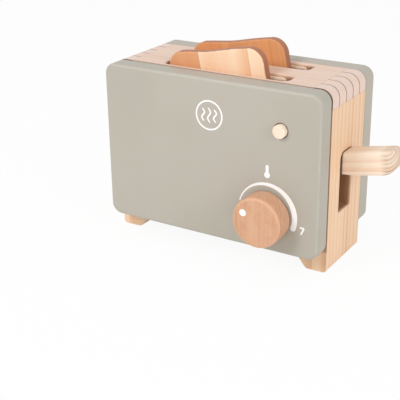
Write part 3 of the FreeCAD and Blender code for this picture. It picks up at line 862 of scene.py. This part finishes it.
def slice_outline():
    """Once round the slice, anticlockwise, as points across and up.

    The top is a straight line from lobe to lobe, less a dip in the shape of a bell curve.
    """
    left_lobe = (SLICE_LEFT + LEFT_LOBE_RADIUS, LEFT_LOBE_TOP - LEFT_LOBE_RADIUS)
    right_lobe = (SLICE_RIGHT - RIGHT_LOBE_RADIUS, RIGHT_LOBE_TOP - RIGHT_LOBE_RADIUS)
    top_x = np.linspace(right_lobe[0], left_lobe[0], 60)[1:-1]
    share = (top_x - left_lobe[0]) / (right_lobe[0] - left_lobe[0])
    line = LEFT_LOBE_TOP + (RIGHT_LOBE_TOP - LEFT_LOBE_TOP) * share
    top_z = line - DIP * np.exp(-((top_x - DIP_PLACE) / DIP_SPREAD) ** 2)
    return np.concatenate([
        arc_points((SLICE_LEFT + FOOT_RADIUS, SLICE_FOOT + FOOT_RADIUS), FOOT_RADIUS, 180, 270, 9),
        arc_points((SLICE_RIGHT - FOOT_RADIUS, SLICE_FOOT + FOOT_RADIUS), FOOT_RADIUS, 270, 360, 9),
        arc_points(right_lobe, RIGHT_LOBE_RADIUS, 0, 90, 28),
        np.stack([top_x, top_z], axis=1),
        arc_points(left_lobe, LEFT_LOBE_RADIUS, 90, 180, 28),
    ])


outline = slice_outline()
print("slice outline has", len(outline), "points")

# %% [markdown]
# To round the edge, the outline has to move inwards along its own normals by the same distance all the
# way round. The normal at a point is the difference of its two neighbours, turned by a right angle.

# %% Build the slices


def inset(flat, distance):
    """Move a closed outline inwards along its normals by a distance."""
    along = np.roll(flat, -1, axis=0) - np.roll(flat, 1, axis=0)
    along /= np.linalg.norm(along, axis=1, keepdims=True)
    return flat + distance * np.stack([-along[:, 1], along[:, 0]], axis=1)


def slice_surface(inner_y):
    """Rows run from the middle of one face, over the rounded edge, to the middle of the other face."""
    centre = outline.mean(axis=0)
    quarter = np.radians(np.linspace(0, 90, 7))
    early, late = EDGE_ROUND * (1 - np.sin(quarter)), EDGE_ROUND * (1 - np.cos(quarter))
    face = [centre + share * (inset(outline, EDGE_ROUND) - centre) for share in FACE_SHARES]
    edge = [inset(outline, distance) for distance in np.concatenate([early, late])]
    flat = np.stack(face + edge + face[::-1])
    height = np.concatenate([
        np.zeros(len(face)), late, SLICE_THICKNESS - early, np.full(len(face), SLICE_THICKNESS)])
    height = np.broadcast_to(height[:, None], flat.shape[:2])
    x, z = out_of_arm(flat[..., 0], flat[..., 1])
    return np.stack([x, inner_y + height, z], axis=-1)


print("slices are %.0f mm thick" % (1000 * SLICE_THICKNESS))

# %% [markdown]
# A slice is glued up from strips, each with its own tone, and its edge is stained brown like a crust. The
# stain covers what lies away from both faces, and soaks in unevenly.

# %% Dress the slices
STRIP_WIDTH = 44 * MM
SEAM_FROM_MIDDLE = 21 * MM
SEAM_HALF_WIDTH = 0.25 * MM
CRUST_FULL = 3.0 * MM
CRUST_END = 3.9 * MM
SOAK_DEPTH = 1.2 * MM
first_seam = middle_x * math.cos(tilt) + body_top * math.sin(tilt) - SEAM_FROM_MIDDLE
LEFT_STRIP = colour(222, 150, 96)
MIDDLE_STRIP = colour(232, 164, 106)
SEAM_SHADE = colour(176, 116, 70)
CRUST_DARK = colour(150, 92, 66)
CRUST_PALE = colour(196, 132, 96)


def toast_material(name, node, faces_pale, faces_dark):
    """The strip's number is the distance across the slice over the strip's width, rounded down."""
    low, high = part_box(node)
    turn = (0, tilt, 0)
    material = wood_material(
        name, faces_pale, faces_dark, turn,
        pith=(-0.02, 0.14, 0), spacing=0.0047, rings=0.45, fibres=0.45, wander=0.005)
    tree, shader, base = net(material)
    from_seam = subtract(tree, separate(tree, turned_place(tree, turn))[0], first_seam)
    strip = calculate(tree, "DIVIDE", from_seam, STRIP_WIDTH)
    number = calculate(tree, "FLOOR", strip)
    tone = multiply(tree, chance(tree, add(tree, number, 3.0)), 0.08)
    left = calculate(tree, "LESS_THAN", strip, 0.0)
    base = blend_colours(tree, calculate(tree, "MULTIPLY_ADD", left, 0.72, tone), base, LEFT_STRIP)
    in_middle = calculate(tree, "COMPARE", number, 0.0, 0.5)
    fade = smooth_range(tree, subtract(tree, strip, number), 0.68, 0.98, 0.0, 0.5)
    base = blend_colours(tree, multiply(tree, in_middle, fade), base, MIDDLE_STRIP)
    gap = multiply(tree, subtract(tree, strip, calculate(tree, "ROUND", strip)), STRIP_WIDTH)
    seam = use_group(tree, glue_line, {"Distance": gap, "Half Width": SEAM_HALF_WIDTH})["Mask"]
    base = tint(tree, base, seam, 0.4, SEAM_SHADE)
    place = object_place(tree)
    off_middle = apart(tree, separate(tree, place)[1], (low.y + high.y) / 2)
    soak = swing(tree, place, 220.0, 4.0, 0.6)
    off_middle = calculate(tree, "MULTIPLY_ADD", soak, SOAK_DEPTH, off_middle)
    crust = smooth_range(tree, off_middle, CRUST_FULL, CRUST_END, 1.0, 0.0)
    stain = blend_colours(tree, noise(tree, place, 90.0, 4.0, 0.65), CRUST_DARK, CRUST_PALE)
    tree.links.new(blend_colours(tree, crust, base, stain), shader.inputs["Base Color"])
    return material


for side, pale, dark in (
    ("front", colour(255, 226, 196), colour(240, 180, 130)),
    ("rear", colour(226, 164, 114), colour(190, 122, 76)),
):
    piece = grid_piece(side + "_toast_slice", slice_surface(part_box(side + "_toast")[0].y))
    finish = toast_material(side + "_toast_wood", side + "_toast", pale, dark)
    finish_piece(piece, finish, side + "_slice", "toast_wood", side + "_toast")

# %% [markdown]
# The knob is turned on a lathe, so it is one profile swept round an axis: a face sunk by a fraction of a
# millimetre, a well rounded front corner, a straight side and a bore at the back for its shaft.

# %% Turn the knob
knob_low, knob_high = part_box("knob")
knob_x = (knob_low.x + knob_high.x) / 2
knob_z = (knob_low.z + knob_high.z) / 2
knob_radius = (knob_high.x - knob_low.x) / 2
KNOB_FRONT_ROUND = 2.4 * MM
KNOB_BACK_ROUND = 0.8 * MM
KNOB_HOLLOW = 0.15 * MM
FACE_RISE = 0.88
SHAFT_BORE = 5.03 * MM
BORE_DEPTH = 12.2 * MM
TURNS_AROUND = 128


def turned_piece(name, profile, x, z):
    """Sweep a profile of (radius, place along Y) round an axis along Y."""
    angle = np.linspace(0, 2 * np.pi, TURNS_AROUND, endpoint=False)
    radius, along = profile[:, 0][:, None], profile[:, 1][:, None]
    points = np.stack([
        x + radius * np.cos(angle),
        np.broadcast_to(along, (len(profile), TURNS_AROUND)),
        z + radius * np.sin(angle),
    ], axis=-1)
    return grid_piece(name, points)


def knob_profile():
    """From the middle of the face, over the front corner, down the side and into the bore.

    The face is sunk by one depth, and rises to the corner with the square of the share of its last part.
    """
    face = np.linspace(0, 1, 14)
    flat_radius = knob_radius - KNOB_FRONT_ROUND
    hollow = KNOB_HOLLOW * (1 - np.clip((face - FACE_RISE) / (1 - FACE_RISE), 0, 1) ** 2)
    front = np.stack([face * flat_radius, knob_low.y + hollow], axis=1)
    corner = (flat_radius, knob_low.y + KNOB_FRONT_ROUND)
    rounded = arc_points(corner, KNOB_FRONT_ROUND, -90, 0, 12)[1:]
    heel = arc_points((knob_radius - KNOB_BACK_ROUND, knob_high.y - KNOB_BACK_ROUND), KNOB_BACK_ROUND, 0, 90, 7)
    bore_end = knob_high.y - BORE_DEPTH
    bore = np.array([[SHAFT_BORE, knob_high.y], [SHAFT_BORE, bore_end], [0.0, bore_end]])
    return np.concatenate([front, rounded, heel, bore])


knob_wood = wood_material(
    "knob_wood", colour(220, 173, 140), colour(180, 118, 82), ALONG_Z,
    pith=(0.09, 0.16, 0), spacing=0.0030, rings=0.22, fibres=0.85)
knob = turned_piece("turned_knob", knob_profile(), knob_x, knob_z)
finish_piece(knob, knob_wood, "knob", "knob_wood", "knob")

# %% [markdown]
# The knob's rounded front corner gets a painted highlight: a lighter ring, found from the distance to the
# knob's axis and from the place along that axis.

# %% Painted highlight on the knob's rim
KNOB_RIM_HIGHLIGHT = colour(240, 192, 158)
KNOB_BLOTCH = colour(204, 142, 102)


def paint_rim_highlight(material):
    """Mix in a paler colour as a painted highlight, where both the radius and the depth lie on the rounded
    front corner.
    """
    tree, shader, base = net(material)
    place = object_place(tree)
    parts = separate(tree, place)
    radius = distance_from(tree, parts, knob_x, knob_z)
    out = smooth_range(tree, radius, knob_radius - KNOB_FRONT_ROUND, knob_radius - 0.5 * KNOB_FRONT_ROUND)
    front = smooth_range(
        tree, parts[1], knob_low.y + 0.4 * KNOB_FRONT_ROUND, knob_low.y + KNOB_FRONT_ROUND, 1.0, 0.0)
    blotch = smooth_range(tree, noise(tree, place, 150.0, 4.0, 0.6), 0.42, 0.7)
    base = tint(tree, base, blotch, 0.32, KNOB_BLOTCH)
    # Painted highlight: the rounded front corner is lighter all round.
    base = tint(tree, base, multiply(tree, out, front), 0.35, KNOB_RIM_HIGHLIGHT)
    tree.links.new(base, shader.inputs["Base Color"])


paint_rim_highlight(knob_wood)
button_wood = wood_material(
    "button_wood", colour(255, 234, 214), colour(222, 176, 142), ALONG_Y,
    pith=(0.008, 0.012, 0), spacing=0.0024, rings=0.3, fibres=0.4)
dress(button_wood, "push_button")
print("knob and button dressed")

# %% [markdown]
# The signs on the front are screen printed: a white ink film a few hundredths of a millimetre thick. Each
# is a real thin piece with a top and a rim, so it doesn't flicker with the paint under it.

# %% White ink
INK_THICKNESS = 0.06 * MM


def ink_material():
    """White, with a faint cloud in the colour and in the roughness."""
    material, tree, shader = new_material("white_print", Specular_IOR_Level=0.4)
    cloud = noise(tree, object_place(tree), 900.0, 3.0)
    base = blend_colours(tree, cloud, colour(255, 255, 254), colour(250, 250, 247))
    tree.links.new(base, shader.inputs["Base Color"])
    tree.links.new(calculate(tree, "MULTIPLY_ADD", cloud, 0.15, 0.45), shader.inputs["Roughness"])
    return material


ink = ink_material()


def film(name, inner, outer, closed=False, surface_y=front_y, body="body"):
    """A thin film between two lines of points (x, z): back, outer rim, front and inner rim in turn."""
    raised_y = surface_y - INK_THICKNESS
    sides = ((inner, surface_y), (outer, surface_y), (outer, raised_y), (inner, raised_y))
    rows = np.stack([np.stack([flat[:, 0], np.full(len(flat), y), flat[:, 1]], axis=1) for flat, y in sides])
    piece = grid_piece(name, rows, wrap_rows=True, wrap_columns=closed)
    shade_faces(piece.data, False)
    finish_piece(piece, ink, body, "painted_board")


def along_stroke(path, width):
    """The two sides of a stroke of a given width along a line of points."""
    direction = np.gradient(path, axis=0)
    direction /= np.linalg.norm(direction, axis=1, keepdims=True)
    aside = np.stack([-direction[:, 1], direction[:, 0]], axis=1) * np.reshape(width, (-1, 1)) / 2
    return path + aside, path - aside


print("ink ready")

# %% [markdown]
# A round sign with three rising waves stands on the panel, a plain sign for warmth. Below it the scale of
# the knob swells from a hairline to a thick rounded end: it lies between two circles whose centres differ.

# %% Round warmth sign
SIGN_X = 2.1 * MM
SIGN_Z = 116.7 * MM
SIGN_RADIUS = 11.2 * MM
SIGN_LINE = 1.25 * MM
WAVE_HALF_HEIGHT = 6.0 * MM
WAVE_SWING = 1.25 * MM
WAVE_SPACING = 5.2 * MM
WAVE_TURNS = 1.25
OUTER_WAVE_SHARE = 0.86


def ring(radius, centre_x, centre_z, count=96):
    """Points once round a circle."""
    return arc_points((middle_x + centre_x, centre_z), radius, 0, 360 - 360 / count, count)


film("sign_ring", ring(SIGN_RADIUS - SIGN_LINE / 2, SIGN_X, SIGN_Z),
     ring(SIGN_RADIUS + SIGN_LINE / 2, SIGN_X, SIGN_Z), closed=True)
for number in range(3):
    up = np.linspace(-1, 1, 41)
    path = np.stack([
        middle_x + SIGN_X + (number - 1) * WAVE_SPACING + WAVE_SWING * np.sin(np.pi * WAVE_TURNS * up),
        SIGN_Z + up * WAVE_HALF_HEIGHT * (1.0 if number == 1 else OUTER_WAVE_SHARE),
    ], axis=1)
    taper = SIGN_LINE * np.sqrt(np.clip(1 - up ** 6, 0.02, 1))
    film("sign_wave_%d" % (number + 1), *along_stroke(path, taper))

# %% Scale round the knob
SCALE_OUTER = (52.72 * MM, 46.83 * MM, 25.19 * MM)
SCALE_INNER = (51.0 * MM, 46.9 * MM, 22.55 * MM)
SCALE_START = 165.0
SCALE_END = -18.0


def scale_sides():
    """Both edges of the swelling scale, with a half-round end where it is thick."""
    inner, outer = [
        arc_points((middle_x + centre_x, centre_z), radius, SCALE_START, SCALE_END, 120)
        for centre_x, centre_z, radius in (SCALE_INNER, SCALE_OUTER)
    ]
    middle = (inner[-1] + outer[-1]) / 2
    half = (outer[-1] - inner[-1]) / 2
    forward = np.array([half[1], -half[0]])
    turn = np.radians(np.linspace(0, 88, 14))[1:, None]
    inner_cap = middle - half * np.cos(turn) + forward * np.sin(turn)
    outer_cap = middle + half * np.cos(turn) + forward * np.sin(turn)
    return np.concatenate([inner, inner_cap]), np.concatenate([outer, outer_cap])


film("knob_scale", *scale_sides())

# %% [markdown]
# Above the scale stands a small thermometer: a stem with a round top that widens into a bulb. At the
# scale's thick end stands the number seven, drawn as a bar and a leg.

# %% Thermometer and number
BULB_X = 52.1 * MM
BULB_Z = 78.2 * MM
STEM_TOP = 86.1 * MM
BULB_RADIUS = 2.4 * MM
STEM_RADIUS = 1.25 * MM
LEAST_HALF_WIDTH = 0.02 * MM
SEVEN_X = 81.9 * MM
SEVEN_LOW = 36.1 * MM
SEVEN_HIGH = 41.6 * MM
SEVEN_HALF = 1.75 * MM
SEVEN_LINE = 1.25 * MM


def thermometer_half_width(height):
    """The wider of a bulb's circle and a stem with a round top, at each height."""
    bulb = np.sqrt(np.clip(BULB_RADIUS ** 2 - (height - BULB_Z) ** 2, 0, None))
    into_dome = np.clip(height - (STEM_TOP - STEM_RADIUS), 0, None)
    dome = np.sqrt(np.clip(STEM_RADIUS ** 2 - into_dome ** 2, 0, None))
    stem = np.where(height > BULB_Z, dome, 0)
    return np.maximum(bulb, stem) + LEAST_HALF_WIDTH


eased = (1 - np.cos(np.linspace(0, np.pi, 80))) / 2
height = BULB_Z - BULB_RADIUS + (STEM_TOP - BULB_Z + BULB_RADIUS) * eased
half = thermometer_half_width(height)
bulb_x = middle_x + BULB_X
film("thermometer_sign", np.stack([bulb_x - half, height], axis=1), np.stack([bulb_x + half, height], axis=1))

seven = np.array([
    [middle_x + SEVEN_X - SEVEN_HALF, SEVEN_HIGH],
    [middle_x + SEVEN_X + SEVEN_HALF, SEVEN_HIGH],
    [middle_x + SEVEN_X - 0.4 * SEVEN_HALF, SEVEN_LOW],
])
film("number_seven_bar", *along_stroke(seven[:2], SEVEN_LINE))
film("number_seven_leg", *along_stroke(seven[1:], SEVEN_LINE), surface_y=front_y - 0.2 * INK_THICKNESS)

# %% Dot on the knob
DOT_X = 41.5 * MM
DOT_Z = 52.1 * MM
DOT_RADIUS = 2.8 * MM
DOT_CENTRE = 1e-7
dot_outer = ring(DOT_RADIUS, DOT_X, DOT_Z, 48)
dot_inner = ring(DOT_CENTRE, DOT_X, DOT_Z, 48)
film("knob_dot", dot_inner, dot_outer, closed=True, surface_y=knob_low.y + KNOB_HOLLOW, body="knob")

# %% [markdown]
# The toaster stands on a plain pale floor. A white sheet would turn grey where the light falls off, so for
# rays that come straight from the camera, off a mirror or through glass, most of the floor glows white by
# itself and only a soft part of its shadow is left. It lies a tenth of a millimetre below the soles.

# %% Floor
FLOOR_HALF = 6.0
FLOOR_Z = -0.1 * MM
PAPER_LEVEL = 0.94
GLOW_SHARE = 0.93
floor_mesh = bpy.data.meshes.new("floor")
floor_points = [(x * FLOOR_HALF, y * FLOOR_HALF, FLOOR_Z) for x, y in ((-1, -1), (1, -1), (1, 1), (-1, 1))]
floor_mesh.from_pydata(floor_points, [], [(0, 1, 2, 3)])
floor = place_object("floor", floor_mesh)
paper, paper_tree, paper_shader = new_material("white_paper", Roughness=0.9, Specular_IOR_Level=0.1)
paper_shader.inputs["Base Color"].default_value = (PAPER_LEVEL, PAPER_LEVEL, PAPER_LEVEL, 1)


def seen_directly(tree):
    """One for camera, mirror and glass rays, and nought for the rays that carry light."""
    path = tree.nodes.new("ShaderNodeLightPath").outputs
    either = larger(tree, path["Is Camera Ray"], path["Is Glossy Ray"])
    return larger(tree, either, path["Is Transmission Ray"])


glow = add_node(paper_tree, "ShaderNodeEmission", {"Color": (1, 1, 1, 1), "Strength": 1.0})
share = multiply(paper_tree, seen_directly(paper_tree), GLOW_SHARE)
shaders = {0: share, 1: paper_shader.outputs[0], 2: glow.outputs[0]}
mixed = add_node(paper_tree, "ShaderNodeMixShader", shaders)
paper_tree.links.new(mixed.outputs[0], paper_tree.nodes["Material Output"].inputs["Surface"])
floor_mesh.materials.append(paper)
print("floor laid")

# %% [markdown]
# Soft light comes from all round, from a white world. A lamp to the left of the camera gives the front a
# little more, and a weaker one on the right reaches the end board and the lever.

# %% Light
WORLD_LEVEL = 0.64
world = bpy.data.worlds.new("studio")
bpy.context.scene.world = world
world.use_nodes = True
world_tree = world.node_tree
background = world_tree.nodes["Background"]
background.inputs["Color"].default_value = (1, 1, 1, 1)
visible = seen_directly(world_tree)
world_tree.links.new(smooth_range(world_tree, visible, 0, 1, WORLD_LEVEL, 1.0), background.inputs["Strength"])


def soft_lamp(name, place, aim, size, power):
    """A square lamp that points from its place to an aim."""
    data = bpy.data.lights.new(name, "AREA")
    data.size = size
    data.energy = power
    lamp = place_object(name, data)
    lamp.location = place
    lamp.rotation_euler = (Vector(aim) - Vector(place)).to_track_quat("-Z", "Y").to_euler()


LAMP_AIM = (0, 0, 0.07)
soft_lamp("key_lamp", (-0.5, -1.15, 1.05), LAMP_AIM, size=0.55, power=9.0)
soft_lamp("side_lamp", (1.5, -0.5, 0.7), LAMP_AIM, size=0.8, power=7.0)
bpy.context.scene.view_settings.view_transform = "Standard"
print("lit")
